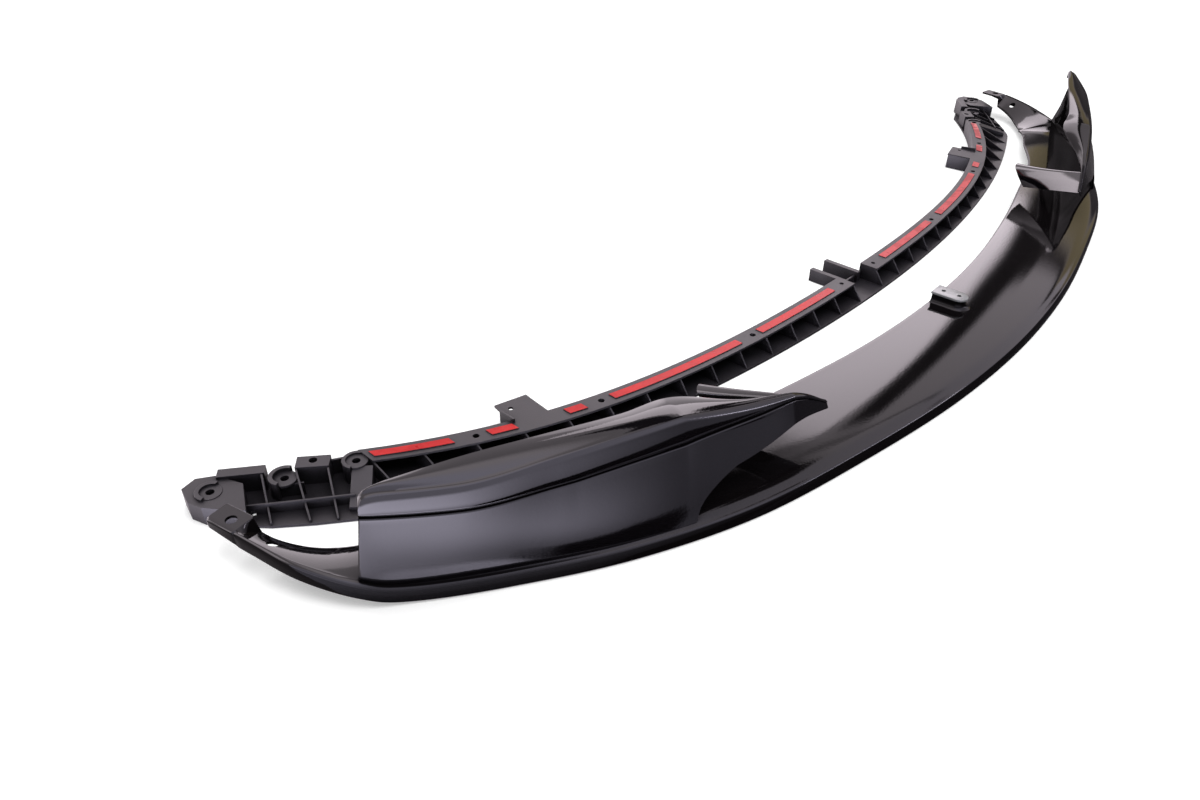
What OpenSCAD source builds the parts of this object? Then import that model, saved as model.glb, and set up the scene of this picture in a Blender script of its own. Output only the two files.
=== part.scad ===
// Front splitter lip for a car bumper, laid out with its under-bumper carrier.
// Millimetres. Front of the car is -Y, the car's left side is +X, the floor is z = 0.

/* [Lip blade] */
// Width of the lip across the arm tips
lip_w = 1652; // [1500:1:1800]
// Depth of the lip from the front centre to the arm tips
lip_depth = 402; // [370:1:430]
// Width of the blade at the centre, front edge to inner edge
blade_chord = 119; // [100:1:135]
// Wall thickness of the blade
blade_t = 3; // [2.5:0.1:4]
// Height of the blunt front band
band_h = 16; // [14:0.5:19]
// Height of the inner edge over the floor at the centre
inner_h = 26; // [23:0.5:29]
// Crown of the blade between its two edges
blade_crown = 4.5; // [2:0.5:7]
// Height that the arm tips rise off the floor
tip_lift = 28; // [24:0.5:32]

/* [Arm tips] */
// Length of the flat screw tab at each arm tip
tab_len = 34; // [28:0.5:40]
// Width of the flat screw tab
tab_w = 25; // [22:0.5:30]
// Diameter of the screw hole in the tab
tab_hole_d = 11; // [6:0.5:13]
// Diameter of the second hole, in the arm
arm_hole_d = 10; // [6:0.5:11]

/* [Centre bracket] */
// Length of the bracket flange along Y
bracket_len = 42; // [36:0.5:50]
// Width of the bracket flange
bracket_w = 23; // [20:0.5:28]
// Height of the bracket flange over the floor
bracket_h = 39.5; // [36:0.5:46]
// Distance between the two bracket holes
bracket_pitch = 20; // [17:0.5:22]
// Diameter of the bracket holes
bracket_hole_d = 5.5; // [4:0.1:6.5]

/* [Canards] */
// Height of the canard wall over the blade's front band at its rear end
canard_wall_h = 98; // [85:1:110]
// Rise of the canard shelf over the wall at its rear end
canard_shelf_h = 8; // [4:0.5:14]
// Wall thickness of the canards
canard_t = 3; // [2.5:0.1:3.5]
// Outward bulge of the canard wall
wall_bulge = 7; // [3:0.5:12]
// Depth of the groove under the shelf edge
groove_in = 2.5; // [1:0.1:4]
// Width of the rounded shoulder between groove and shelf
bead_r = 10; // [7:0.5:12]
// Height of the rounded shoulder over the groove
bead_h = 25; // [18:0.5:28]
// Depth of the groove under the shoulder's outermost line
groove_drop = 17; // [12:0.5:20]
// Radius of the rolled edge of the mouth bridge
roll_r = 8; // [5:0.5:9]
// Height of the mouth bridge at its inner end
bridge_h = 36; // [24:1:38]
// Glue gap between canard and blade
glue_gap = 0.4; // [0.3:0.05:0.8]

/* [Carrier] */
// Width of the carrier across its end plates
carrier_w = 1642; // [1560:1:1650]
// Height of the carrier channel
carrier_h = 24; // [21:0.5:28]
// Width of the top flange
flange_w = 25; // [22:0.5:30]
// Wall thickness of the carrier
carrier_t = 2.5; // [2:0.1:3.2]
// Distance between the channel ribs
rib_pitch = 46; // [38:1:60]
// Thickness of the ribs
rib_t = 1.8; // [1.4:0.1:2.6]
// Half width of the centre notch
notch_half = 28; // [24:0.5:32]
// Diameter of the screw holes in the top flange
flange_hole_d = 7; // [4:0.5:8]
// Distance that the carrier lies behind the blade's front edge
carrier_back = 197; // [192:1:215]
// Turn of the loose carrier against the lip, in degrees
carrier_turn = 1.2; // [0:0.1:1.6]

/* [Tape] */
// Width of the tape strips
tape_w = 10.5; // [8:0.5:14]
// Thickness of the foam
foam_t = 0.8; // [0.6:0.1:1.5]
// Thickness of the liner
liner_t = 0.3; // [0.2:0.05:0.5]

/* [Hidden] */

up = [0, 0, 1];
half_w = lip_w / 2;

// Front edge in plan: share of the half width, share of the depth, share of the tip lift.
// Round numbers, from the centre to the arm tip.
FRONT = [[0, 0, 0], [0.194, 0.022, 0], [0.387, 0.085, 0], [0.557, 0.165, 0], [0.703, 0.29, 0],
    [0.823, 0.44, 0], [0.905, 0.56, 0.07], [0.942, 0.628, 0.36], [0.972, 0.745, 0.64],
    [0.988, 0.87, 0.88], [1, 1, 1]];
// Width of the blade at the same stations: share of the chord across the blade
CHORD = [1, 1, 1, 1, 0.86, 0.76, 0.61, 0.6, 0.42, 0.235, 0.21];
// Height of the inner edge over the front edge's foot: share of the height at the centre
INNER = [1, 0.98, 0.96, 0.94, 0.92, 0.82, 0.48, 0.1, -0.2, -0.1, 0.3];

// Smooth curve through a list of points, mirrored about the centre line
function before(p, i) = i > 0 ? p[i - 1] : [-p[1][0], p[1][1], p[1][2]];
function spline(a, b, c, d, u) =
    0.5 * (2 * b + (c - a) * u + (2 * a - 5 * b + 4 * c - d) * u * u + (3 * b - a - 3 * c + d) * u * u * u);
function along(p, s) = let(n = len(p) - 1, i = min(floor(s), n - 1))
    spline(before(p, i), p[i], p[i + 1], p[min(i + 2, n)], s - i);
function along1(p, s) = let(n = len(p) - 1, i = min(floor(s), n - 1), u = s - i)
    spline(p[abs(i - 1)], p[i], p[i + 1], p[min(i + 2, n)], u);
function mix(a, b, f) = a + (b - a) * f;
function unit(v) = v / norm(v);

// Front bottom edge and the direction across the blade at station s
function edge(s) = let(q = along(FRONT, s)) [q[0] * half_w, q[1] * lip_depth, max(q[2], 0) * tip_lift];
function across(s) = let(d = edge(min(s + 0.05, 10)) - edge(max(s - 0.05, 0)),
        n = unit([-d[1], d[0], 0])) s < 0.01 ? [0, 1, 0] : n;
function chord(s) = blade_chord * along1(CHORD, s);
function top_h(s, f) = mix(band_h, inner_h * along1(INNER, s), f)
    + blade_crown * min(1, chord(s) / blade_chord) * sin(180 * pow(f, 0.8));
// Point on the blade's upper side, f is the share of the chord
function deck(s, f) = edge(s) + across(s) * chord(s) * f + up * top_h(s, f);

blade_steps = 4;
blade_last = 10;
BLADE_F = [1, 0.86, 0.7, 0.54, 0.38, 0.24, 0.13];

// Section of the blade: upper side to the front, round the band, and back under
function band_pt(s, w, z) = edge(s) + across(s) * w + up * z;
function band_w(s) = min(6, 0.11 * chord(s));
function blade_ring(s) = let(w = band_w(s)) concat(
    [for (f = BLADE_F) deck(s, f)],
    [band_pt(s, w, band_h - 0.1), band_pt(s, w * 0.43, band_h - 1.6), band_pt(s, w * 0.12, band_h - 4.4),
     band_pt(s, 0, band_h - 8), band_pt(s, 0, 1.5), band_pt(s, 1, 0)],
    [band_pt(s, blade_t, 0), band_pt(s, blade_t, band_h - 7.5), band_pt(s, max(blade_t + 0.4, w - 1), band_h - 4)],
    [for (i = [len(BLADE_F) - 1 : -1 : 0]) deck(s, BLADE_F[i]) - up * blade_t]);

// Closed skin over a row of rings
module skin(rings) {
    n = len(rings[0]);
    m = len(rings);
    polyhedron(
        points = [for (r = rings) each r],
        faces = concat(
            [for (i = [0 : m - 2]) for (j = [0 : n - 1]) let(k = (j + 1) % n)
                each [[i * n + j, i * n + k, (i + 1) * n + k], [i * n + j, (i + 1) * n + k, (i + 1) * n + j]]],
            [[for (j = [n - 1 : -1 : 0]) j], [for (j = [0 : n - 1]) (m - 1) * n + j]]));
}

function flip(p) = [for (q = p) [-q[0], q[1], q[2]]];

// Arm tip: a flat screw tab that steps up from the arm, rings across it from the arm outwards
tip = edge(blade_last);
tip_dir = unit(edge(blade_last) - edge(blade_last - 1) - up * (edge(blade_last) - edge(blade_last - 1))[2]);
tip_turn = atan2(tip_dir[1], tip_dir[0]);
tip_in = [-tip_dir[1], tip_dir[0], 0];
tab_z = tip_lift + band_h - 2;
function tab_pt(l, w, z) = [tip[0], tip[1], 0] + tip_dir * l + tip_in * w + up * z;
// Section across the tab at length l, from width w0 to w1, with its outer wall this deep;
// its points pair with those of the arm's section
tab_wall = 2.2;
function tab_ring(l, w0, w1, z, deep) = concat(
    [for (f = BLADE_F) tab_pt(l, mix(w0, w1, f), z)],
    [for (i = [1 : 6]) tab_pt(l, w0 + (i < 3 ? 3 - i : 0) * 0.4, z - deep * (i - 1) / 5)],
    [tab_pt(l, w0 + tab_wall, z - deep), tab_pt(l, w0 + tab_wall, z - deep * 0.7),
     tab_pt(l, w0 + tab_wall + 0.3, z - blade_t - 0.8)],
    [for (i = [len(BLADE_F) - 1 : -1 : 0]) tab_pt(l, mix(w0, w1, BLADE_F[i]), z - blade_t)]);
tab_corner = 3;
tab_rings = [tab_ring(-tab_len, 0.4, tab_w - 1, tab_z, band_h - 1),
    tab_ring(-tab_len + tab_corner, 0, tab_w, tab_z, band_h - 2),
    tab_ring(-tab_corner, 0, tab_w, tab_z, band_h * 0.6),
    tab_ring(0, tab_corner * 0.8, tab_w - tab_corner, tab_z, band_h * 0.5)];

arm_last = 9.25;
half_rings = concat([for (k = [0 : arm_last * blade_steps]) blade_ring(k / blade_steps)], tab_rings);
blade_rings = concat(
    [for (k = [len(half_rings) - 1 : -1 : 1]) flip(half_rings[k])],
    half_rings);

// Screw hole in the tab, and the second hole further down the arm
arm_hole = deck(8.8, 0.5);
module tab_holes() {
    translate([tip[0], tip[1], 0])
        rotate(tip_turn)
            translate([-tab_len * 0.6, tab_w * 0.46, tab_z - 10])
                cylinder(d = tab_hole_d, h = 20, $fn = 40);
    translate([arm_hole[0], arm_hole[1], arm_hole[2] - 14])
        cylinder(d = arm_hole_d, h = 28, $fn = 40);
}

// Centre bracket: a two-hole flange on two webs that stand on the blade's inner half
web_t = 3;
rear = blade_chord;
flange_z = bracket_h - blade_t;
// Height of the blade's upper side under a web, at share f of the chord
function seat(f) = [top_h(0, f) + glue_gap, rear * f - (f == 1 ? 1 : 0)];
module bracket_web(x, foot_f) {
    translate([x + web_t / 2, 0, 0])
        rotate([0, -90, 0])
            linear_extrude(web_t)
                polygon(concat(
                    [for (f = BLADE_F) if (f > foot_f) seat(f)],
                    [seat(foot_f), seat(foot_f) + [2, 0]],
                    [[flange_z + 1, rear - bracket_len * 0.75], [flange_z + 1, rear - 1]]));
}

module bracket() {
    translate([0, 0, flange_z])
        linear_extrude(blade_t)
            union() {
                translate([-bracket_w / 2, rear - bracket_len * 0.7])
                    square([bracket_w, bracket_len * 0.7]);
                translate([-bracket_w * 0.22, rear - bracket_len * 0.72])
                    circle(d = bracket_w * 0.56, $fn = 40);
                translate([bracket_w * 0.22, rear - bracket_len * 0.72])
                    circle(d = bracket_w * 0.56, $fn = 40);
                translate([-bracket_w * 0.25, rear - bracket_len])
                    square([bracket_w * 0.5, bracket_len * 0.5]);
            }
    bracket_web(-bracket_w / 2 + web_t / 2, 0.5);
    bracket_web(bracket_w / 2 - web_t / 2, 0.6);
    translate([-bracket_w / 2, rear - bracket_len * 0.5, top_h(0, 0.82) + glue_gap])
        cube([bracket_w, web_t * 0.7, flange_z - top_h(0, 0.82)]);
}

module bracket_holes() {
    for (k = [0, 1])
        translate([0, blade_chord - bracket_len * 0.26 - k * bracket_pitch, bracket_h - blade_t - 6])
            cylinder(d = bracket_hole_d, h = 12, $fn = 40);
}

module splitter_blade() {
    color("#101012")
        origin()
            difference() {
                skin(blade_rings);
                for (m = [0, 1])
                    mirror([m, 0, 0])
                        tab_holes();
            }
}

module centre_bracket() {
    color("#9a9aa0")
        origin()
            difference() {
                bracket();
                bracket_holes();
            }
}

// Canard: a wall bonded on the blade's outer edge, a narrow shelf that turns in over it, and a
// bridge with a rolled edge that reaches in over the mouth.
// Outer bead line and inner shelf edge as shares of the half width and the depth, and a height
// share; the stations run from the rear end to the nose.
GROOVE = [[0.933, 0.596, 1], [0.845, 0.478, 0.934], [0.759, 0.403, 0.94], [0.674, 0.336, 0.943],
    [0.604, 0.286, 0.93], [0.525, 0.236, 0.86], [0.461, 0.204, 0.768], [0.42, 0.179, 0.612]];
SHELF = [[0.918, 0.619, 1], [0.826, 0.555, 1], [0.743, 0.488, 0.98], [0.659, 0.425, 0.943],
    [0.588, 0.39, 0.898], [0.519, 0.281, 0.79], [0.461, 0.221, 0.728], [0.42, 0.188, 0.588]];
// Blade stations under the wall; past the mouth's foot the wall would meet the blade there
FOOT = [7, 5.55, 4.65, 3.95, 3.5, 2.96, 2.6, 2.25];

canard_steps = 5;
// Rise of the blade across the wall's thickness
foot_slope = 0.3;
canard_top = band_h + canard_wall_h;
shelf_top = canard_top + canard_shelf_h;

function groove(s) = let(q = along1(GROOVE, s)) [q[0] * half_w, q[1] * lip_depth, q[2] * canard_top];
function shelf_edge(s) = let(q = along1(SHELF, s)) [q[0] * half_w, q[1] * lip_depth, q[2] * shelf_top];
function foot_s(s) = along1(FOOT, s);
// The foot stands on the facets of the blade between its band corner and its first deck line
function foot_on(s, g) = mix(band_pt(s, band_w(s), band_h - 0.1), deck(s, 0.13), g) + up * glue_gap;
function foot(s, g) = let(t = foot_s(s), a = floor(t * blade_steps) / blade_steps, b = a + 1 / blade_steps)
    mix(foot_on(a, g), foot_on(b, g), (t - a) * blade_steps);
function inward(s) = let(d = shelf_edge(s) - groove(s), t = groove(max(s - 0.1, 0)) - groove(min(s + 0.1, 7)),
    n = unit([-t[1], t[0], 0])) n * (n * d < 0 ? -1 : 1);
// Leading edge of the wall: share of the way up from the foot line to the groove
function lead(s) = s < 4 ? 0 : s < 4.6 ? 0.56 * pow((s - 4) / 0.6, 0.4) : 0.56 + 0.155 * (s - 4.6);

// How far the wall bulges out between its foot and the groove
function bulge(s) = wall_bulge * (0.3 + 0.7 * sin(180 * min(s / 4.4, 1)));
function wall_pt(s, f) = let(k = mix(lead(s), 1, f))
    mix(foot(s, 0.1), groove(s) + inward(s) * groove_in - up * (1 + groove_drop * swell(s)), k) - inward(s) * bulge(s) * sin(180 * k);
// The shoulder and the skin taper off towards the nose
function taper(s) = min(1, max(0.25, (7.2 - s) / 2));
function swell(s) = min(1, max(0, (5.8 - s) / 2));
function bead_pt(s, a) = groove(s) + inward(s) * (1 - cos(a)) * bead_r * mix(0.8 * taper(s), 1, swell(s))
    + up * (sin(a) * mix(0.64 * bead_r * taper(s), bead_h, swell(s)) - groove_drop * swell(s));
function shelf_pt(s, f) = mix(bead_pt(s, 90), shelf_edge(s), f) + up * 2.5 * taper(s) * sin(180 * f);

function skin_t(s) = canard_t * max(0.5, taper(s));
function canard_ring(s) = let(
    outer = concat(
        [for (f = [0, 0.2, 0.4, 0.6, 0.8, 1])
            [wall_pt(s, f), inward(s) + up * (f == 0 ? foot_slope : 0)]],
        [for (a = [0, 22, 45, 67, 90]) [bead_pt(s, a), unit(inward(s) * cos(a) - up * sin(a))]],
        [for (f = [0.25, 0.5, 0.75, 0.97]) [shelf_pt(s, f), -up]]))
    concat(
        [for (o = outer) o[0]],
        [for (i = [len(outer) - 1 : -1 : 0]) outer[i][0] + outer[i][1] * skin_t(s)]);

canard_rings = [for (k = [0 : 7 * canard_steps]) canard_ring(k / canard_steps)];

// Mouth bridge: corners of its face at the nose, top and bottom, and at its inner end, top and bottom
nose_top = [0.458 * half_w, 0.206 * lip_depth, 0.74 * shelf_top];
nose_low = [0.42 * half_w, 0.178 * lip_depth, 0.57 * shelf_top];
end_top = [0.479 * half_w, 0.465 * lip_depth, 0.55 * shelf_top];
end_low = [0.479 * half_w, 0.465 * lip_depth - bridge_h * 0.6, 0.55 * shelf_top - bridge_h * 0.8];
bridge_axis = unit(end_top - nose_top);

function bridge_ring(f) = let(
    top = mix(nose_top, end_top, f),
    low = mix(nose_low, end_low, f),
    down = unit(low - top),
    out = unit(cross(bridge_axis, down)),
    r = roll_r * mix(0.5, 1, f),
    t = canard_t * mix(0.7, 0.85, f),
    hub = top + down * r - out * r)
    concat(
        [low, mix(low, top, 0.5) + out],
        [for (a = [0 : 30 : 180]) hub + (out * cos(a) - down * sin(a)) * r],
        [hub - out * r + down * 3, hub - out * (r - t) + down * 3],
        [for (a = [180 : -30 : 0]) hub + (out * cos(a) - down * sin(a)) * (r - t)],
        [mix(low, top, 0.5) + out * (1 - t), low - out * t]);

module canard() {
    union() {
        skin(canard_rings);
        skin([for (f = [-0.02, 0.2, 0.4, 0.6, 0.8, 1]) bridge_ring(f)]);
    }
}

module canard_left() {
    color("#131214")
        origin()
            canard();
}

module canard_right() {
    color("#131214")
        origin()
            mirror([1, 0, 0])
                canard();
}

// Carrier outline in its own frame, y from its front edge at the centre
half_c = carrier_w / 2;
function share(x) = x / half_c;
function front_y(x) = lip_depth * (0.361 * pow(share(x), 2) + 0.082 * pow(share(x), 4));
function flange_y(x) = flange_w * 1.08 + lip_depth * (0.279 * pow(share(x), 2) + 0.445 * pow(share(x), 4));
function rear_y(x) = flange_y(x) + flange_w / 2;

arc_step = 23;
flange_end = 0.815 * half_c;
function span(a, b, n) = [for (i = [0 : n]) a + (b - a) * i / n];
function steps(a, b) = max(1, round(abs(b - a) / arc_step));

module strip(x0, x1, off0, off1, z0, z1) {
    xs = span(x0, x1, steps(x0, x1));
    translate([0, 0, z0])
        linear_extrude(z1 - z0)
            polygon(concat(
                [for (x = xs) [x, flange_y(x) + off0]],
                [for (i = [len(xs) - 1 : -1 : 0]) [xs[i], flange_y(xs[i]) + off1]]));
}

// One rib across the channel at x
module rib(x) {
    y0 = front_y(x);
    y1 = flange_y(x) - flange_w / 2;
    y2 = rear_y(x);
    translate([x + rib_t / 2, 0, 0])
        rotate([0, -90, 0])
            linear_extrude(rib_t)
                polygon([[0.5, y0 + 1.5], [carrier_t, y0 + 1.5], [carrier_h - carrier_t, y1 + 1],
                    [carrier_h - 0.5, y1 + 4], [carrier_h - 0.5, y2 - 1], [0.5, y2 - 1]]);
}

hole_x = [0.7 * half_c, 0.54 * half_c, 0.272 * half_c];
notch_hole_x = notch_half + 12;
rib_count = floor((flange_end - notch_half) / rib_pitch);

// Corners of the end plate, outside and behind the last rib
END_FRONT = [[0.871, 0.793], [0.909, 0.939], [0.946, 1.1], [0.962, 1.195], [0.98, 1.305], [0.994, 1.4], [1, 1.5]];
REAR_CORNERS = [[0.994, 1.63], [0.974, 1.66], [0.955, 1.6]];
end_unit = 0.408 * lip_depth;
function end_pt(q) = [q[0] * half_c, q[1] * end_unit];

module floor_plate() {
    xs = span(0, 0.86 * half_c, 34);
    rear = span(0.895 * half_c, 0, 34);
    linear_extrude(carrier_t)
        polygon(concat(
            [for (x = xs) [x, front_y(x)]],
            [for (q = END_FRONT) end_pt(q)],
            [for (q = REAR_CORNERS) end_pt(q)],
            [for (x = rear) [x, rear_y(x)]]));
}

// Skirt round the tip of the end plate, open below, with its walls inside the outline
SKIRT = concat([for (i = [3 : 6]) END_FRONT[i]], REAR_CORNERS, [[0.94, 1.42]]);
skirt_h = carrier_h - 3;
skirt_mid = end_pt([0.972, 1.46]);
module end_skirt() {
    difference() {
        linear_extrude(skirt_h)
            polygon([for (q = SKIRT) end_pt(q)]);
        translate([0, 0, -1])
            linear_extrude(skirt_h - carrier_t + 1)
                polygon([for (q = SKIRT) end_pt(q) + unit(skirt_mid - end_pt(q)) * carrier_t * 1.5]);
    }
}

// Plain wall between two points of the end plate
module wall(a, b, t, z0, z1) {
    d = b - a;
    translate([a[0], a[1], z0])
        rotate(atan2(d[1], d[0]))
            translate([0, -t / 2, 0])
                cube([norm(d), t, z1 - z0]);
}

// Rib whose top falls from z1 at a to z2 at b
module slope_rib(a, b, t, z1, z2) {
    d = b - a;
    translate([a[0], a[1], 0])
        rotate(atan2(d[1], d[0]))
            translate([0, t / 2, 0])
                rotate([90, 0, 0])
                    linear_extrude(t)
                        polygon([[0, 0.5], [norm(d), 0.5], [norm(d), z2], [0, z1]]);
}

tip_hole = end_pt([0.974, 1.482]);
lug_hole = end_pt([0.901, 1.299]);
block_hole = end_pt([0.863, 1.287]);
tongue_hole = end_pt([0.827, 1.11]);

module lug(p, r, z, ring) {
    translate([p[0], p[1], 0]) {
        translate([0, 0, z - carrier_t])
            cylinder(r = r, h = carrier_t, $fn = 48);
        difference() {
            cylinder(r = r + ring, h = min(z + 4, carrier_h - 0.3), $fn = 48);
            translate([0, 0, -1])
                cylinder(r = r - ring * 0.4, h = carrier_h + 2, $fn = 48);
            rotate(-30)
                translate([-r * 2, -r * 2, -1])
                    cube([r * 4, r * 2, carrier_h + 2]);
        }
    }
}

module raised_block(a, b, w) {
    d = b - a;
    translate([a[0], a[1], 0])
        rotate(atan2(d[1], d[0]))
            difference() {
                cube([norm(d), w, carrier_h]);
                translate([carrier_t, carrier_t, -1])
                    cube([norm(d) - 2 * carrier_t, w - 2 * carrier_t, carrier_h - carrier_t + 1]);
            }
}

module end_section() {
    end_skirt();
    lug(lug_hole, 12, 19, 3);
    lug(tongue_hole, 11.5, 22, 2.5);
    lug(tip_hole, 11, 21.6, 3);
    raised_block(end_pt([0.915, 1.396]), end_pt([0.958, 1.561]), 12);
    raised_block(end_pt([0.856, 1.177]), end_pt([0.886, 1.305]), 17);
    // Rear wall behind the lugs
    wall([flange_end, rear_y(flange_end) - 3], end_pt([0.846, 1.244]), carrier_t, 0, 20);
    // Sloping tongue from its lug down to the floor plate
    slope_rib(end_pt([0.827, 1.049]), end_pt([0.862, 0.841]), 20, 21, 8);
    // Ribs across, seen edge on from the front
    slope_rib(end_pt([0.918, 1.402]), end_pt([0.945, 1.11]), rib_t, 23, 5);
    slope_rib(end_pt([0.886, 1.293]), end_pt([0.912, 0.97]), rib_t, 23, 5);
    slope_rib(end_pt([0.858, 1.171]), end_pt([0.888, 0.872]), rib_t, 23, 5);
    slope_rib(end_pt([0.945, 1.439]), end_pt([0.967, 1.22]), rib_t, 20.4, 6);
    slope_rib(end_pt([0.958, 1.463]), end_pt([0.985, 1.335]), rib_t, 20, 8);
    // Long rib along the end plate
    wall(end_pt([0.857, 0.915]), end_pt([0.914, 1.128]), rib_t, 0.5, 14);
    wall(end_pt([0.914, 1.128]), end_pt([0.972, 1.354]), rib_t, 0.5, 14);
    // Short rib under the lug
    wall(end_pt([0.888, 1.201]), end_pt([0.918, 1.305]), rib_t, 0.5, 17);
}

// Rear tab with its hole and thin fin, reaching back from the flange
module rear_tab() {
    x0 = 0.597 * half_c;
    x1 = 0.652 * half_c;
    translate([0, 0, carrier_h - carrier_t])
        linear_extrude(carrier_t)
            polygon([[x0 + 7, flange_y(x0) + 4], [x0, flange_y(x0) + 2.08 * flange_w], [x1 - 8, flange_y(x1) + 1.76 * flange_w],
                [x1, flange_y(x1) + 2]]);
    slope_rib([x0 + 5, flange_y(x0) + 8], [x0 + 0.5, flange_y(x0) + 2.04 * flange_w], rib_t, carrier_h - 1, carrier_h - 1);
    slope_rib([x1 - 2, flange_y(x1) + 6], [x1 - 4, flange_y(x1) + 1.2 * flange_w], rib_t, carrier_h + 5, carrier_h + 3);
}

rear_tab_hole = [0.632 * half_c, flange_y(0.632 * half_c) + 1.36 * flange_w];

module half_carrier() {
    floor_plate();
    strip(notch_half, flange_end, -flange_w / 2, flange_w / 2, carrier_h - carrier_t, carrier_h);
    strip(notch_half, flange_end, flange_w / 2 - carrier_t, flange_w / 2, 0, carrier_h);
    strip(0, notch_half + 1, flange_w / 2 - carrier_t, flange_w / 2, 0, carrier_h * 0.5);
    for (i = [0 : rib_count])
        rib(notch_half + rib_t / 2 + i * rib_pitch);
    rib(flange_end - rib_t / 2);
    rear_tab();
    end_section();
    // Finger beside the notch, pointing back
    translate([notch_half * 0.5, 34, 0])
        cube([7, 52, carrier_h * 0.7]);
}

module half_carrier_holes() {
    for (x = hole_x)
        translate([x, flange_y(x), carrier_h - 8])
            cylinder(d = flange_hole_d, h = 16, $fn = 32);
    translate([notch_hole_x, flange_y(notch_hole_x), carrier_h - 8])
        cylinder(d = flange_hole_d * 0.8, h = 16, $fn = 32);
    for (p = [tip_hole, lug_hole, block_hole, tongue_hole])
        translate([p[0], p[1], -1])
            cylinder(d = flange_hole_d * 1.2, h = carrier_h + 8, $fn = 32);
    translate([rear_tab_hole[0], rear_tab_hole[1], carrier_h - 8])
        cylinder(d = flange_hole_d * 0.8, h = 16, $fn = 32);
    translate([end_pt([0.948, 1.268])[0], end_pt([0.948, 1.268])[1], -1])
        cylinder(d = flange_hole_d * 0.8, h = 8, $fn = 32);
}

// Overall depth, from the blade's front edge to the rear corner of the turned carrier
pivot_y = 0.157 * lip_depth;
rear_corner = end_pt(REAR_CORNERS[1]);
total_depth = carrier_back + pivot_y + (rear_corner[1] - pivot_y) * cos(carrier_turn)
    + rear_corner[0] * sin(carrier_turn);

// Places the whole part with its origin at the middle of its footprint
module origin() {
    translate([0, -total_depth / 2, 0])
        children();
}

module carrier_place() {
    origin()
        translate([0, carrier_back + pivot_y, 0])
            rotate(-carrier_turn)
                translate([0, -pivot_y, 0])
                    children();
}

module carrier() {
    color("#1d1c1f")
        carrier_place()
            difference() {
                union()
                    for (m = [0, 1])
                        mirror([m, 0, 0])
                            half_carrier();
                for (m = [0, 1])
                    mirror([m, 0, 0])
                        half_carrier_holes();
            }
}

// Tape strips between the flange holes: start and end as shares of the half width
TAPE = [[0.727, 0.809], [0.654, 0.685], [0.564, 0.588], [0.302, 0.524], [0.078, 0.258]];

module tape(side, i, z0, t, tone) {
    color(tone)
        carrier_place()
            mirror([side < 0 ? 1 : 0, 0, 0])
                strip(TAPE[i][0] * half_c, TAPE[i][1] * half_c, -tape_w / 2, tape_w / 2, z0, z0 + t);
}

module foam(side, i) {
    tape(side, i, carrier_h, foam_t, "#3a3a3c");
}

module liner(side, i) {
    tape(side, i, carrier_h + foam_t, liner_t, "#d8322f");
}

splitter_blade();
centre_bracket();
canard_left();
canard_right();
carrier();
foam(1, 0);  // tape_foam_left_1
foam(1, 1);  // tape_foam_left_2
foam(1, 2);  // tape_foam_left_3
foam(1, 3);  // tape_foam_left_4
foam(1, 4);  // tape_foam_left_5
foam(-1, 0);  // tape_foam_right_1
foam(-1, 1);  // tape_foam_right_2
foam(-1, 2);  // tape_foam_right_3
foam(-1, 3);  // tape_foam_right_4
foam(-1, 4);  // tape_foam_right_5
liner(1, 0);  // tape_liner_left_1
liner(1, 1);  // tape_liner_left_2
liner(1, 2);  // tape_liner_left_3
liner(1, 3);  // tape_liner_left_4
liner(1, 4);  // tape_liner_left_5
liner(-1, 0);  // tape_liner_right_1
liner(-1, 1);  // tape_liner_right_2
liner(-1, 2);  // tape_liner_right_3
liner(-1, 3);  // tape_liner_right_4
liner(-1, 4);  // tape_liner_right_5
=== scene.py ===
import bpy
import bmesh
import math
from mathutils import Matrix, Vector


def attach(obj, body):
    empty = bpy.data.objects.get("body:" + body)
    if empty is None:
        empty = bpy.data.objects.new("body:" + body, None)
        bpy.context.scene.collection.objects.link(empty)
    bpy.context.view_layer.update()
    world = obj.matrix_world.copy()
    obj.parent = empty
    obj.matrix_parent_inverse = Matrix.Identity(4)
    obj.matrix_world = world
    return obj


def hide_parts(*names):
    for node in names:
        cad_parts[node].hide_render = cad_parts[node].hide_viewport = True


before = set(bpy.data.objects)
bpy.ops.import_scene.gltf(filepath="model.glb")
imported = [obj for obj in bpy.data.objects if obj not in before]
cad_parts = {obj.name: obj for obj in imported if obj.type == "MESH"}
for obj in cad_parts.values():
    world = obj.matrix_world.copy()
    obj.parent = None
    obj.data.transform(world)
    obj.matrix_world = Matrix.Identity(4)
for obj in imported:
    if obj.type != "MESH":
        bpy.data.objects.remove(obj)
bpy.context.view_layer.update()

# Studio: a pale paper floor that runs past the picture, one big soft box over the lip and a dim
# one behind, and a camera on a stand at the lip's right-hand end, a little above knee height.
scene = bpy.context.scene
scene.view_settings.view_transform = "Standard"

eye = Vector((-1.0434, -0.4993, 0.594))
look_flat = Vector((0.7438, 0.6683, 0))
look_down = math.radians(35.24)
camera_data = bpy.data.cameras.new("photo_camera")
camera_data.sensor_width = 36
camera_data.lens = 27.9
camera_data.clip_start = 0.02
camera = bpy.data.objects.new("photo_camera", camera_data)
camera.location = eye
look = look_flat.normalized() * math.cos(look_down) - Vector((0, 0, math.sin(look_down)))
camera.rotation_mode = "QUATERNION"
camera.rotation_quaternion = look.to_track_quat("-Z", "Y")
scene.collection.objects.link(camera)
scene.camera = camera


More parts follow.
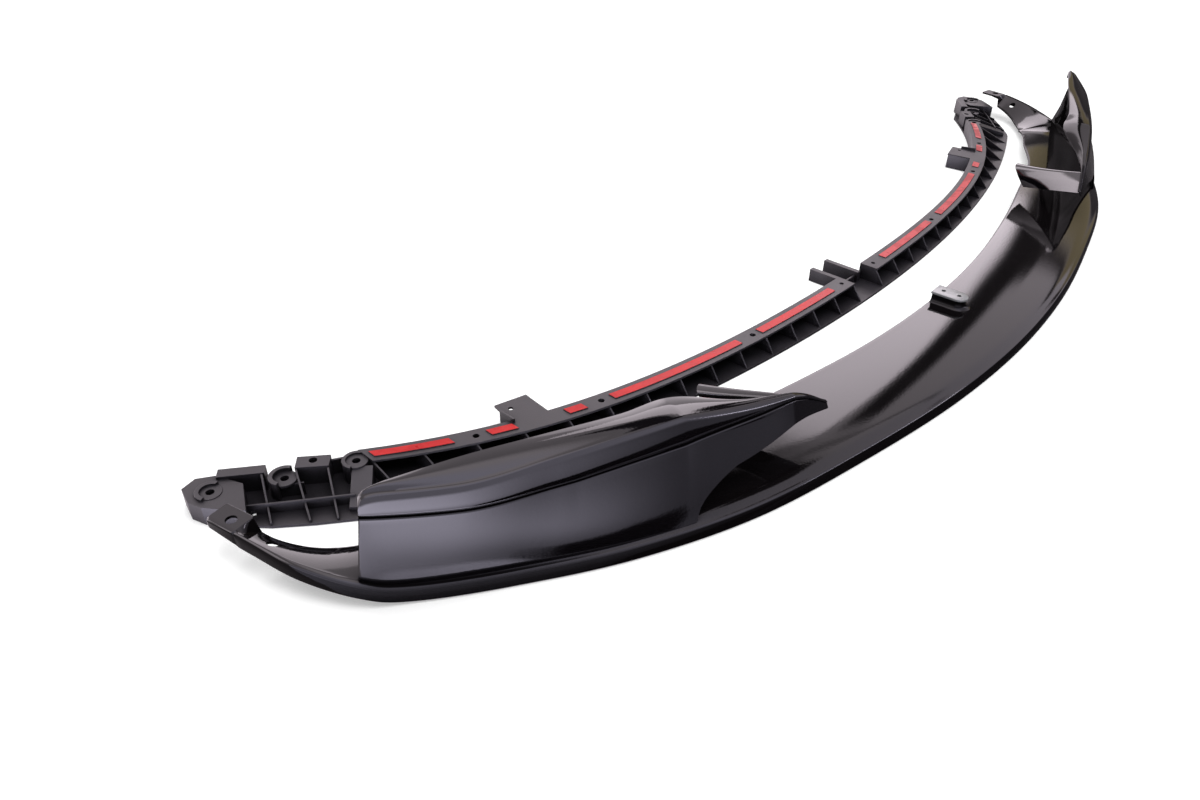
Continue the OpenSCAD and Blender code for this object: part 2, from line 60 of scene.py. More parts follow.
def soft_box(name, place, width, power):
    lamp = bpy.data.lights.new(name, "AREA")
    lamp.shape = "SQUARE"
    lamp.size = width
    lamp.energy = power
    box = bpy.data.objects.new(name, lamp)
    box.location = place
    box.rotation_mode = "QUATERNION"
    box.rotation_quaternion = (-Vector(place)).to_track_quat("-Z", "Y")
    box.visible_glossy = False
    scene.collection.objects.link(box)


soft_box("soft_box_over", (-0.3, -0.5, 2.6), width=2.2, power=62)
soft_box("soft_box_behind", (0.6, 2.2, 1.8), width=1.8, power=18)


# One shader node, with its settings and the values of its free sockets
def add_shader(tree, kind, values=None, **settings):
    made = tree.nodes.new("ShaderNode" + kind)
    for setting, value in settings.items():
        setattr(made, setting, value)
    for socket, value in (values or {}).items():
        made.inputs[socket].default_value = value
    return made


def feed(tree, socket, term):
    if isinstance(term, (int, float)):
        socket.default_value = term
    else:
        tree.links.new(term, socket)


def maths(tree, kind, *terms):
    made = add_shader(tree, "Math", operation=kind)
    for i, term in enumerate(terms):
        feed(tree, made.inputs[i], term)
    return made.outputs[0]


def remap(tree, value, start, end, low=0, high=1, curve="LINEAR"):
    span = {"From Min": start, "From Max": end, "To Min": low, "To Max": high}
    made = add_shader(tree, "MapRange", span, interpolation_type=curve)
    tree.links.new(value, made.inputs["Value"])
    return made.outputs["Result"]


def colour_ramp(tree, value, *stops):
    made = add_shader(tree, "ValToRGB")
    for i, (position, colour) in enumerate(stops):
        made.color_ramp.elements[i].position = position
        made.color_ramp.elements[i].color = (*colour, 1)
    tree.links.new(value, made.inputs["Fac"])
    return made.outputs["Color"]


def mix_colour(tree, share, start, end_colour):
    made = add_shader(tree, "Mix", data_type="RGBA")
    made.inputs["B"].default_value = (*end_colour, 1)
    tree.links.new(share, made.inputs["Factor"])
    tree.links.new(start, made.inputs["A"])
    return made.outputs["Result"]


def new_material(name):
    material = bpy.data.materials.new(name)
    material.use_nodes = True
    return material, material.node_tree


# The floor is matt paper that the camera sees a little brighter than the lamps make it
white = (1, 1, 1, 1)
floor_grey = (0.8, 0.8, 0.8, 1)
floor_lift = 0.34
floor_reach = 30
floor_under = 0.0006
fill_light = 0.55

paper, tree = new_material("floor_paper")
tree.nodes.clear()
paper_out = add_shader(tree, "OutputMaterial")
paper_matt = add_shader(tree, "BsdfDiffuse", {"Color": floor_grey})
paper_path = add_shader(tree, "LightPath")
paper_white = add_shader(tree, "Emission")
paper_sum = add_shader(tree, "AddShader")
seen_lift = maths(tree, "MULTIPLY", paper_path.outputs["Is Camera Ray"], floor_lift)
tree.links.new(seen_lift, paper_white.inputs["Strength"])
tree.links.new(paper_matt.outputs[0], paper_sum.inputs[0])
tree.links.new(paper_white.outputs[0], paper_sum.inputs[1])
tree.links.new(paper_sum.outputs[0], paper_out.inputs["Surface"])

floor_mesh = bpy.data.meshes.new("studio_floor")
floor_corners = [(-1, -1), (1, -1), (1, 1), (-1, 1)]
floor_points = [(x * floor_reach, y * floor_reach, -floor_under) for x, y in floor_corners]
floor_mesh.from_pydata(floor_points, [], [(0, 1, 2, 3)])
floor = bpy.data.objects.new("studio_floor", floor_mesh)
floor_mesh.materials.append(paper)
scene.collection.objects.link(floor)
floor.visible_glossy = False

# The air is white to the camera, a soft fill to the matt surfaces and a patchy room to the gloss
world = bpy.data.worlds.new("studio_air")
scene.world = world
world.use_nodes = True
air = world.node_tree
air.nodes.clear()
air_out = add_shader(air, "OutputWorld")
air_fill = add_shader(air, "Background", {"Color": white, "Strength": fill_light})
air_mirror = add_shader(air, "Background")
air_seen = add_shader(air, "Background", {"Color": white})
air_path = add_shader(air, "LightPath")
air_way = add_shader(air, "TexCoord")
mirror_mix = add_shader(air, "MixShader")
seen_mix = add_shader(air, "MixShader")
air.links.new(air_path.outputs["Is Glossy Ray"], mirror_mix.inputs[0])
air.links.new(air_fill.outputs[0], mirror_mix.inputs[1])
air.links.new(air_mirror.outputs[0], mirror_mix.inputs[2])
air.links.new(air_path.outputs["Is Camera Ray"], seen_mix.inputs[0])
air.links.new(mirror_mix.outputs[0], seen_mix.inputs[1])
air.links.new(air_seen.outputs[0], seen_mix.inputs[2])
air.links.new(seen_mix.outputs[0], air_out.inputs["Surface"])


def ramp(value, start, end):
    return remap(air, value, start, end, curve="SMOOTHSTEP")


def both(mask, other):
    return maths(air, "MULTIPLY", mask, other)


def part_way(way):
    dot = add_shader(air, "VectorMath", {1: way}, operation="DOT_PRODUCT")
    air.links.new(air_way.outputs["Generated"], dot.inputs[0])
    return dot.outputs["Value"]


def stripe(value, low, high, soft):
    return both(ramp(value, low - soft, low + soft), ramp(value, high + soft, high - soft))


def window(turns, rises, soft):
    return both(stripe(turn, *turns, soft), stripe(rise, *rises, soft))


def over(below, bright, mask):
    fade = add_shader(air, "Mix")
    feed(air, fade.inputs["Factor"], mask)
    feed(air, fade.inputs["A"], below)
    feed(air, fade.inputs["B"], bright)
    return fade.outputs["Result"]


# The room that the gloss mirrors is fitted to the reflections in the picture and given by direction:
# turn is degrees to the right of the camera's view and rise is degrees over the horizon. The map's seam
# lies straight behind room_middle.
room_middle = (0.9945, -0.1045, 0)
room_right = (-0.1045, -0.9945, 0)
middle_turn = 48
in_degrees = 57.3
way_round = maths(air, "ARCTAN2", part_way(room_right), part_way(room_middle))
turn = maths(air, "MULTIPLY_ADD", way_round, in_degrees, middle_turn)
rise = maths(air, "MULTIPLY", maths(air, "ARCSINE", part_way((0, 0, 1))), in_degrees)

# The paper wall past the near end, brighter towards the back and dimmer low down and high up
room_light = 1.25
side_height = maths(air, "MULTIPLY_ADD", ramp(rise, -60, -18), 0.6, 0.4)
side_wall = maths(air, "MULTIPLY_ADD", both(ramp(turn, 120, 178), side_height), 6.4, 0.45)
side_wall = over(side_wall, 1.7, ramp(rise, 12, 30))
room = over(room_light, side_wall, ramp(turn, 92, 100))

# Leaning edges in the room: a slope down the near wall, a bent post, a sagging cord and a tilted card
slope = maths(air, "MULTIPLY_ADD", turn, 1.45, rise)
bend = maths(air, "MAXIMUM", maths(air, "SUBTRACT", rise, 28), 0)
lean = maths(air, "SUBTRACT", turn, both(maths(air, "POWER", bend, 2), 0.016))
sag = maths(air, "MULTIPLY_ADD", turn, 0.2, rise)
tilt = maths(air, "MULTIPLY_ADD", turn, -0.18, rise)

# Each patch is its light and where it lies, and a later one covers those before it
ROOM_PATCHES = [
    # Dark wedge behind the slope, ceiling, dark skirting
    (0, both(ramp(slope, 162, 158.5), stripe(turn, 110, 147, 2))),
    (2.6, ramp(rise, 62, 74)),
    (0.1, both(stripe(turn, 20, 106, 4), ramp(rise, 17, 13))),
    # Four lit panels: a dim one ahead, two on the left and the one that the deck mirrors
    (2.4, window((-19, 2), (-2, 26), 2)),
    (4.5, window((-92, -44), (-12, 40), 3)),
    (4, window((-128, -98), (18, 50), 4)),
    (4.3, window((0, 25.2), (19.8, 43), 0.9)),
    # Bent post, sagging cord, two dark cards and the tilted card
    (0.03, both(stripe(lean, 24.6, 29.6, 1.1), stripe(rise, 24, 43, 1.5))),
    (0.35, both(stripe(sag, 51.1, 52.3, 1), stripe(turn, 27, 60, 3))),
    (0.03, window((30, 52), (22.8, 25), 0.7)),
    (0.03, window((25.6, 32), (19.5, 26.4), 0.7)),
    (0.02, both(stripe(turn, 12, 60, 2), stripe(tilt, 42.5, 53, 0.8))),
    # Lamp strip, and the paper straight below
    (18, window((78, 104), (24.2, 26), 0.7)),
    (5, ramp(rise, -64, -70)),
]
for light, patch in ROOM_PATCHES:
    room = over(room, light, patch)

# The olive door, low on the right, and the slow change from warm to cool round the room
door_light = 0.62
door_olive = (1, 0.82, 0.5)
warm = (1, 0.9, 0.97)
cool = (0.96, 0.91, 1.12)
door = over(window((31, 50), (15, 22.6), 1), 1, window((24, 31), (14, 19.5), 1))
hue = colour_ramp(air, both(turn, 1 / 180), (0.2, warm), (0.6, cool))
air.links.new(mix_colour(air, door, hue, door_olive), air_mirror.inputs["Color"])
air.links.new(over(room, door_light, door), air_mirror.inputs["Strength"])


# Splitter blade: one moulding in gloss black ABS, a shallow curved shelf with a blunt front band
# that thins into an arm on each side. It is screwed up under the bumper by the tab at each arm tip.
mm = 0.001
lip_half = 826
lip_depth = 402
blade_chord = 119
blade_wall = 3
band_high = 16
inner_high = 26
blade_crown = 4.5
tip_lift = 28
footprint_back = 242.9835
up = Vector((0, 0, 1))

# Stations along half the blade, from its middle to the arm tip, as shares of the sizes above
FRONT_EDGE = [
    (0, 0, 0), (0.194, 0.022, 0), (0.387, 0.085, 0), (0.557, 0.165, 0), (0.703, 0.29, 0), (0.823, 0.44, 0),
    (0.905, 0.56, 0.07), (0.942, 0.628, 0.36), (0.972, 0.745, 0.64), (0.988, 0.87, 0.88), (1, 1, 1),
]
BLADE_WIDTH = [1, 1, 1, 1, 0.86, 0.76, 0.61, 0.6, 0.42, 0.235, 0.21]
INNER_RISE = [1, 0.98, 0.96, 0.94, 0.92, 0.82, 0.48, 0.1, -0.2, -0.1, 0.3]
last_station = len(FRONT_EDGE) - 1


# A smooth curve from b to c, u of the way, led by the points before and after them
def pull(a, b, c, d, u):
    square = (2 * a - 5 * b + 4 * c - d) * u * u
    cube = (3 * b - a - 3 * c + d) * u * u * u
    return 0.5 * (2 * b + (c - a) * u + square + cube)


def run_along(row, s, mirrored=False):
    row = [Vector(p) if isinstance(p, tuple) else p for p in row]
    last = len(row) - 1
    i = min(int(s), last - 1)
    if i > 0:
        ahead = row[i - 1]
    elif mirrored:
        ahead = Vector((-row[1][0], row[1][1], row[1][2]))
    else:
        ahead = row[1]
    return pull(ahead, row[i], row[i + 1], row[min(i + 2, last)], s - i)


def blend(a, b, f):
    return a + (b - a) * f


def front_edge(s):
    q = run_along(FRONT_EDGE, s, mirrored=True)
    return Vector((q[0] * lip_half, q[1] * lip_depth, max(q[2], 0) * tip_lift))


def inward_way(s):
    if s < 0.01:
        return Vector((0, 1, 0))
    d = front_edge(min(s + 0.05, last_station)) - front_edge(max(s - 0.05, 0))
    return Vector((-d[1], d[0], 0)).normalized()


def blade_width(s):
    return blade_chord * run_along(BLADE_WIDTH, s)


def deck_high(s, f):
    crown = blade_crown * min(1, blade_width(s) / blade_chord)
    level = blend(band_high, inner_high * run_along(INNER_RISE, s), f)
    return level + crown * math.sin(math.pi * min(1, f ** 0.8))


def band_point(s, w, z):
    return front_edge(s) + inward_way(s) * w + up * z


def deck_point(s, f):
    return band_point(s, blade_width(s) * f, deck_high(s, f))


# The deck ends where the band's round begins. A round's points are how far in and how far down each
# lies, or how far up for the foot; in BAND_ROUND the first number is a share of the round's width.
deck_end = 0.13
deck_knot = 0.24
deck_steps = 26
DECK_SHARES = [1 - (1 - deck_end) * k / deck_steps for k in range(deck_steps + 1)]
EDGE_ROUND = [(0.9, 0), (0.4, 0.14), (0.1, 0.45), (0, 0.95)]
BAND_ROUND = [(1, 0.1), (0.43, 1.6), (0.12, 4.4), (0, 8)]
FOOT_ROUND = [(0, 4), (0, 2), (0.15, 1.2), (0.55, 0.5), (1.2, 0.1), (2, 0), (2.7, 0.1)]
INNER_FACE = [0.4, 3, 6, band_high - 7.5]
band_face_low = band_high - 10.5
round_steps = 5
widest_round = 6
round_share = 0.11


def band_round_wide(s):
    return min(widest_round, round_share * blade_width(s))


# One closed ring round the blade's wall: over the deck, round the band, under the foot and back
def blade_section(s):
    width = blade_width(s)
    band_wide = band_round_wide(s)
    top = [band_point(s, width - w, deck_high(s, 1) - z) for w, z in reversed(EDGE_ROUND)]
    top += [deck_point(s, f) for f in DECK_SHARES[1:]]
    knots = [deck_point(s, deck_knot), deck_point(s, deck_end)]
    knots += [band_point(s, w * band_wide, band_high - z) for w, z in BAND_ROUND]
    knots += [band_point(s, 0, band_face_low)]
    for i in range(1, len(knots) - 2):
        top += [pull(*knots[i - 1:i + 3], u / round_steps) for u in range(1, round_steps + 1)]
    foot = [band_point(s, w, z) for w, z in FOOT_ROUND]
    inner = [band_point(s, blade_wall, z) for z in INNER_FACE]
    inner += [band_point(s, max(blade_wall + 0.4, band_wide - 1), band_high - 4)]
    under = [deck_point(s, f) - up * blade_wall for f in reversed(DECK_SHARES[1:])]
    rim_high = deck_high(s, 1) - blade_wall
    rim = [band_point(s, width - w, rim_high + z) for w, z in EDGE_ROUND[:3]]
    return top + foot + inner + under + rim


arm_tip = front_edge(last_station)
tip_run = arm_tip - front_edge(last_station - 1)
tip_run = Vector((tip_run[0], tip_run[1], 0)).normalized()
tip_inward = Vector((-tip_run[1], tip_run[0], 0))
tab_long = 34
tab_wide = 25
tab_high = tip_lift + band_high - 2
tab_wall = 2.2
tab_hole = 11
arm_hole = 10
arm_hole_station = 8.8
TAB_CORNER = [(2.4, 0), (1.2, 0.4), (0.4, 1.2), (0, 2.4), (0, 3.4)]
TAB_FOOT = [(0, 2), (0, 1), (0.1, 0.6), (0.4, 0.2), (0.9, 0), (1.3, 0), (1.8, 0.1)]


def tab_point(l, w, z):
    return Vector((arm_tip[0], arm_tip[1], 0)) + tip_run * l + tip_inward * w + up * z


# The tab's ring has as many points as the blade's, so that the arm runs on into it
def tab_section(l, w0, w1, z, deep):
    top = [tab_point(l, w1 - w, z - d) for w, d in reversed(EDGE_ROUND)]
    top += [tab_point(l, blend(w0 + 2, w1, f), z) for f in DECK_SHARES[1:]]
    for (w_from, d_from), (w_to, d_to) in zip(TAB_CORNER, TAB_CORNER[1:]):
        shares = [u / round_steps for u in range(1, round_steps + 1)]
        top += [tab_point(l, w0 + blend(w_from, w_to, f), z - blend(d_from, d_to, f)) for f in shares]
    foot = [tab_point(l, w0 + w, z - deep + d) for w, d in TAB_FOOT]
    inner_top = z - blade_wall - 0.8
    inner = [tab_point(l, w0 + tab_wall, blend(z - deep, inner_top, f)) for f in (0.05, 0.3, 0.6, 0.9, 1)]
    under_shares = reversed(DECK_SHARES[1:])
    under = [tab_point(l, blend(w0 + tab_wall, w1, f), z - blade_wall) for f in under_shares]
    rim = [tab_point(l, w1 - w, z - blade_wall + d) for w, d in EDGE_ROUND[:3]]
    return top + foot + inner + under + rim


# From the section's millimetres to its place in the frame, in metres
def place(p, side=1):
    return Vector((p[0] * side, p[1] - footprint_back, p[2])) * mm


# A closed skin over a row of rings, each with the same number of points; edges that turn by less
# than crease degrees are shaded smooth
smooth_under = 35


def rings_to_mesh(name, rings, crease=smooth_under):
    mesh = bpy.data.meshes.new(name)
    count = len(rings[0])
    faces = []
    for i in range(len(rings) - 1):
        for j in range(count):
            k = (j + 1) % count
            faces.append((i * count + j, i * count + k, (i + 1) * count + k, (i + 1) * count + j))
    faces.append(tuple(range(count - 1, -1, -1)))
    faces.append(tuple((len(rings) - 1) * count + j for j in range(count)))
    mesh.from_pydata([p for ring in rings for p in ring], [], faces)
    work = bmesh.new()
    work.from_mesh(mesh)
    bmesh.ops.remove_doubles(work, verts=work.verts, dist=0.00002)
    bmesh.ops.recalc_face_normals(work, faces=work.faces)
    work.to_mesh(mesh)
    work.free()
    mesh.shade_smooth()
    mesh.set_sharp_from_angle(angle=math.radians(crease))
    piece = bpy.data.objects.new(name, mesh)
    scene.collection.objects.link(piece)
    return piece


# The arm's last section lies a little past the last station but one, and the tab follows it
sections_per_station = 12
arm_count = (last_station - 1) * sections_per_station + 4
arm_sections = [blade_section(k / sections_per_station) for k in range(arm_count)]
tab_sections = [
    tab_section(-tab_long - 0.8, 0.6, tab_wide - 1.6, tab_high - 0.7, band_high - 1),
    tab_section(-tab_long, 0.4, tab_wide - 1, tab_high, band_high - 1),
    tab_section(-tab_long + 3, 0, tab_wide, tab_high, band_high - 2),
    tab_section(-3, 0, tab_wide, tab_high, band_high * 0.6),
    tab_section(-1.2, 0.5, tab_wide - 0.6, tab_high, band_high * 0.55),
    tab_section(-0.3, 1.4, tab_wide - 1.6, tab_high, band_high * 0.5),
    tab_section(0, 2.4, tab_wide - 3, tab_high, band_high * 0.5),
]
half_sections = arm_sections + tab_sections
blade_rings = [[place(p, -1) for p in ring] for ring in reversed(half_sections[1:])]
blade_rings += [[place(p) for p in ring] for ring in half_sections]
blade = rings_to_mesh("blade_shell", blade_rings)


# Round holes of the given size are drilled straight down through a piece
def drill(piece, spots, across, z_low, z_high):
    cutter_mesh = bpy.data.meshes.new("drill")
    work = bmesh.new()
    radius = across / 2 * mm
    deep = z_high - z_low
    for x, y in spots:
        spot = Matrix.Translation((x, y, (z_low + z_high) / 2))
        bmesh.ops.create_cone(
            work, cap_ends=True, segments=48, radius1=radius, radius2=radius, depth=deep, matrix=spot
        )
    work.to_mesh(cutter_mesh)
    work.free()
    cutter = bpy.data.objects.new("drill", cutter_mesh)
    scene.collection.objects.link(cutter)
    cut = piece.modifiers.new("drill", "BOOLEAN")
    cut.object = cutter
    cut.operation = "DIFFERENCE"
    cut.solver = "EXACT"
    ready = piece.evaluated_get(bpy.context.evaluated_depsgraph_get())
    drilled = bpy.data.meshes.new_from_object(ready)
    piece.modifiers.clear()
    piece.data = drilled
    bpy.data.objects.remove(cutter)
    drilled.shade_smooth()
    drilled.set_sharp_from_angle(angle=math.radians(smooth_under))


tab_spot = place(tab_point(-tab_long * 0.6, tab_wide * 0.46, 0))
arm_spot = place(deck_point(arm_hole_station, 0.5))
for spot, hole in ((tab_spot, tab_hole), (arm_spot, arm_hole)):
    drill(blade, [(spot[0], spot[1]), (-spot[0], spot[1])], hole, z_low=0.005, z_high=0.06)


def gloss_black(name, tone, rough, upright_shade=1, sheen_level=0.5):
    finish, tree = new_material(name)
    skin = tree.nodes["Principled BSDF"]
    skin.inputs["IOR"].default_value = 1.52
    where = add_shader(tree, "TexCoord").outputs["Object"]

    def spread(kind, **values):
        made = add_shader(tree, kind, values)
        tree.links.new(where, made.inputs["Vector"])
        return made.outputs[0]

    # Pigment: a nearly even black with slow cloudy flow marks from the moulding
    darker = [part * 0.75 for part in tone]
    lighter = [part * 1.3 for part in tone]
    pigment = colour_ramp(tree, spread("TexNoise", Scale=6, Detail=3), (0, darker), (1, lighter))
    # Dust: tiny pale specks that stand a little rougher than the gloss round them
    speck = remap(tree, spread("TexVoronoi", Scale=240, Randomness=1), 0.03, 0.075, 1, 0)
    sparse = remap(tree, spread("TexNoise", Scale=24, Detail=2), 0.52, 0.72)
    dusty = maths(tree, "MULTIPLY", speck, sparse)
    tinted = mix_colour(tree, maths(tree, "MULTIPLY", dusty, 0.35), pigment, (0.1, 0.098, 0.1))
    tree.links.new(tinted, skin.inputs["Base Color"])
    # Gloss: slightly uneven polish, duller on the dust
    polish = remap(tree, spread("TexNoise", Scale=14, Detail=6), 0, 1, rough * 0.7, rough * 1.4)
    tree.links.new(maths(tree, "MULTIPLY_ADD", dusty, 0.25, polish), skin.inputs["Roughness"])
    # Orange peel: the faint ripple of a moulded gloss surface
    ripple = add_shader(tree, "Bump", {"Strength": 0.06, "Distance": 0.0004})
    tree.links.new(spread("TexNoise", Scale=420, Detail=2), ripple.inputs["Height"])
    tree.links.new(ripple.outputs["Normal"], skin.inputs["Normal"])
    # Painted shade: deep inside the mouths and other hollows an occlusion node fades the sheen
    inside = add_shader(tree, "AmbientOcclusion", {"Distance": 0.12}, samples=6)
    sheen = remap(tree, inside.outputs["AO"], 0.55, 0.93, 0.03, sheen_level)
    # Painted shade: upright faces keep little of the sheen, turned down to make them as dark as in the
    # picture
    if upright_shade < 1:
        split = add_shader(tree, "SeparateXYZ")
        tree.links.new(add_shader(tree, "NewGeometry").outputs["Normal"], split.inputs["Vector"])
        level = maths(tree, "ABSOLUTE", split.outputs["Z"])
        sheen = maths(tree, "MULTIPLY", sheen, remap(tree, level, 0.5, 0.74, upright_shade, 1))
    tree.links.new(sheen, skin.inputs["Specular IOR Level"])
    return finish


# Painted shade: on the lip the sheen of upright faces drops to 0.12 of the rest
lip_shaded_gloss = gloss_black("lip_gloss_black_painted_shade", (0.003, 0.0024, 0.0028), 0.055, upright_shade=0.12)
blade.data.materials.clear()
blade.data.materials.append(lip_shaded_gloss)
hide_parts("splitter_blade")
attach(blade, "root")


# Centre bracket: a flange with a round nose and two screw holes, on a gloss black body that is moulded
# up from the blade's inner edge and flares into it. The flange's top is painted light, pale grey.
bracket_wide = 23
bracket_long = 42
bracket_top = 39.5
bracket_skin = 3
bracket_hole = 5.5
bracket_hole_pitch = 20
first_hole_share = 0.26
flare_wide = 6
body_inset = 1.2
foot_sunk = 0.6
nose_steps = 24


# One level of the bracket: straight sides from the blade's inner edge and a round nose to the front
def bracket_ring(grow, z, back):
    half = bracket_wide / 2 + grow
    nose = blade_chord - bracket_long + half - grow
    rear = blade_chord - back
    ring = [Vector((-half, rear, z(rear)))]
    for k in range(nose_steps + 1):
        a = math.pi * k / nose_steps
        y = nose - math.sin(a) * (half + grow * 0.4)
        ring.append(Vector((-half * math.cos(a), y, z(y))))
    ring.append(Vector((half, rear, z(rear))))
    return [place(p) for p in ring]


def on_blade(y):
    return deck_high(0, min(max(y / blade_chord, 0), 1)) - foot_sunk


def flare(f):
    return lambda y: blend(bracket_top - bracket_skin, on_blade(y), f)


flange_rounds = [(0.9, 0), (0.4, 0.12), (0.1, 0.4), (0, 0.9), (0, bracket_skin - 0.4), (0.4, bracket_skin)]
flange_rings = []
for inset, drop in flange_rounds:
    flange_rings.append(bracket_ring(-inset, lambda y, d=drop: bracket_top - d, inset * 0.5))
bracket_flange = rings_to_mesh("bracket_flange", flange_rings)
body_rings = []
for f in (0, 0.1, 0.25, 0.4, 0.55, 0.68, 0.8, 0.88, 0.94, 0.98, 1):
    body_rings.append(bracket_ring(flare_wide * f ** 5 - body_inset, flare(f), body_inset))
bracket_body = rings_to_mesh("bracket_body", body_rings, crease=50)

first_hole = blade_chord - bracket_long * first_hole_share - footprint_back
hole_spots = [(0, (first_hole - k * bracket_hole_pitch) * mm) for k in (0, 1)]
drill(bracket_flange, hole_spots, bracket_hole, z_low=0.036, z_high=0.05)
drill(bracket_body, hole_spots, bracket_hole, z_low=0.034, z_high=0.05)

# Painted light: the flange is pale grey with more sheen; painted shade: the body's sheen is turned down
flange_painted_light = gloss_black("bracket_flange_painted_light", (0.17, 0.172, 0.18), 0.26, sheen_level=0.8)
body_painted_shade = gloss_black("bracket_body_painted_shade", (0.003, 0.0025, 0.003), 0.05, upright_shade=0.2, sheen_level=0.3)
for piece, finish in ((bracket_flange, flange_painted_light), (bracket_body, body_painted_shade)):
    piece.data.materials.clear()
    piece.data.materials.append(finish)
    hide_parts("centre_bracket")
    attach(piece, "root")


# Canards: a pair of gloss black side pieces glued on the blade's outer edge. Each is a bulged wall
# with a groove and a rounded shoulder on it, a narrow shelf turned inwards, and a rolled mouth bridge.
canard_wall_high = 98
canard_shelf_rise = 8
canard_thick = 3
wall_bulge = 7
bulge_rear = 0.3
bulge_station = 4.4
wall_top_drop = 5
shoulder_wide = 10
shoulder_high = 25
groove_drop = 17
shelf_crown = 2.5
roll_radius = 8
bridge_drop = 36
glue_gap = 0.4
corner_round = 0.4
canard_top = band_high + canard_wall_high
shelf_top = canard_top + canard_shelf_rise

# Stations from the rear end to the nose: x, y and z as shares of lip_half, lip_depth and the tops
GROOVE_LINE = [
    (0.933, 0.596, 1), (0.845, 0.478, 0.934), (0.759, 0.403, 0.94), (0.674, 0.336, 0.943),
    (0.604, 0.286, 0.93), (0.525, 0.236, 0.86), (0.461, 0.204, 0.768), (0.42, 0.179, 0.612),
]
SHELF_LINE = [
    (0.918, 0.619, 1), (0.826, 0.555, 1), (0.743, 0.488, 0.98), (0.659, 0.425, 0.943),
    (0.588, 0.39, 0.898), (0.519, 0.281, 0.79), (0.461, 0.221, 0.728), (0.42, 0.188, 0.588),
]
# The blade's station that each station of the wall stands at
WALL_FOOT = [7, 5.55, 4.65, 3.95, 3.5, 2.96, 2.6, 2.25]
# The groove's section: how far in from the wall and how far up from the shoulder's start
GROOVE_ROUND = [
    (0.1, -4.2), (0.5, -3.4), (1.3, -2.8), (2.6, -2.5), (3.6, -2.2), (3.8, -1.2),
    (3.7, -0.2), (2.8, 0.1), (1.6, 0.3), (0.8, 0.9), (0.4, 1.8),
]
last_canard_station = len(GROOVE_LINE) - 1


def groove_point(s):
    q = run_along(GROOVE_LINE, s)
    return Vector((q[0] * lip_half, q[1] * lip_depth, q[2] * canard_top))


def shelf_rim(s):
    q = run_along(SHELF_LINE, s)
    return Vector((q[0] * lip_half, q[1] * lip_depth, q[2] * shelf_top))


# The wall stands on the blade just inside the band's round
def foot_point(s):
    t = run_along(WALL_FOOT, s)
    outer = band_point(t, band_round_wide(t), band_high - 0.1)
    return blend(outer, deck_point(t, deck_end), 0.1) + up * glue_gap


def canard_inward(s):
    d = shelf_rim(s) - groove_point(s)
    t = groove_point(max(s - 0.1, 0)) - groove_point(min(s + 0.1, last_canard_station))
    n = Vector((-t[1], t[0], 0)).normalized()
    return -n if n.dot(d) < 0 else n


# The mouth under the nose: the share of the wall that is open from its foot up
mouth_station = 4
mouth_arch = 0.6
mouth_high = 0.56


def wall_start(s):
    past = s - mouth_station
    if past < 0:
        return 0
    if past < mouth_arch:
        return mouth_high * (past / mouth_arch) ** 0.4
    return mouth_high + 0.155 * (past - mouth_arch)


# Towards the nose the thicknesses taper and the shoulder loses its swell, each over two stations;
# at the rear end the groove starts at half its drop
taper_end = 7.2
taper_least = 0.25
swell_end = 5.8
nose_run = 2
nose_wide = 0.8
nose_high = 0.64
rear_drop = 0.5
full_drop_station = 2.2


def canard_taper(s):
    return min(1, max(taper_least, (taper_end - s) / nose_run))


def shoulder_swell(s):
    return min(1, max(0, (swell_end - s) / nose_run))


def shoulder_drop(s):
    return groove_drop * shoulder_swell(s) * blend(rear_drop, 1, min(1, s / full_drop_station))


# The shoulder turns a quarter round, from the groove at a = 0 to the shelf at a = 90 degrees
def shoulder_point(s, a):
    taper = canard_taper(s)
    swell = shoulder_swell(s)
    drop = shoulder_drop(s)
    wide = shoulder_wide * blend(nose_wide * taper, 1, swell)
    high = blend(nose_high * shoulder_wide * taper, shoulder_high - groove_drop + drop, swell)
    lift = math.sin(a) * high - drop
    return groove_point(s) + canard_inward(s) * (1 - math.cos(a)) * wide + up * lift


def wall_point(s, f):
    k = blend(wall_start(s), 1, f)
    bulge = wall_bulge * blend(bulge_rear, 1, math.sin(math.pi * min(s / bulge_station, 1)))
    low = foot_point(s)
    high = shoulder_point(s, 0) - up * wall_top_drop * canard_taper(s)
    return blend(low, high, k) - canard_inward(s) * bulge * math.sin(math.pi * k)


def shelf_point(s, f):
    crown = shelf_crown * canard_taper(s) * math.sin(math.pi * f)
    return blend(shoulder_point(s, math.pi / 2), shelf_rim(s), f) + up * crown


wall_steps = 20
shoulder_steps = 14
shelf_steps = 12
shelf_reach = 0.97
rim_round = 0.8


# One closed ring round the shell: up the wall, over the groove, shoulder and shelf, and back inside
def canard_section(s):
    n = canard_inward(s)
    taper = canard_taper(s)
    thick = canard_thick * max(0.5, taper)
    skin = []
    for k in range(wall_steps + 1):
        skin.append((wall_point(s, k / wall_steps), n + up * (0.3 if k == 0 else 0)))
    for k in range(2, shoulder_steps + 1):
        a = math.pi / 2 * k / shoulder_steps
        skin.append((shoulder_point(s, a), (n * math.cos(a) - up * math.sin(a)).normalized()))
    for k in range(1, shelf_steps + 1):
        skin.append((shelf_point(s, shelf_reach * k / shelf_steps), -up))
    # The rear end's upper corner is rounded: what stands over the groove is lowered there
    level = shoulder_point(s, 0)[2]
    if s < corner_round:
        tuck = 0.3 + 0.7 * math.sqrt(1 - (1 - s / corner_round) ** 2)
        skin = [(Vector((p[0], p[1], min(p[2], level + (p[2] - level) * tuck))), d) for p, d in skin]
    outer = [p for p, d in skin]
    groove = [shoulder_point(s, 0) + (n * w + up * z) * taper for w, z in GROOVE_ROUND]
    outer[wall_steps + 1:wall_steps + 1] = groove
    inner = [p + d * thick for p, d in reversed(skin)]
    rim = blend(outer[-1], inner[0], 0.5) + (outer[-1] - outer[-2]).normalized() * rim_round
    return outer + [rim] + inner


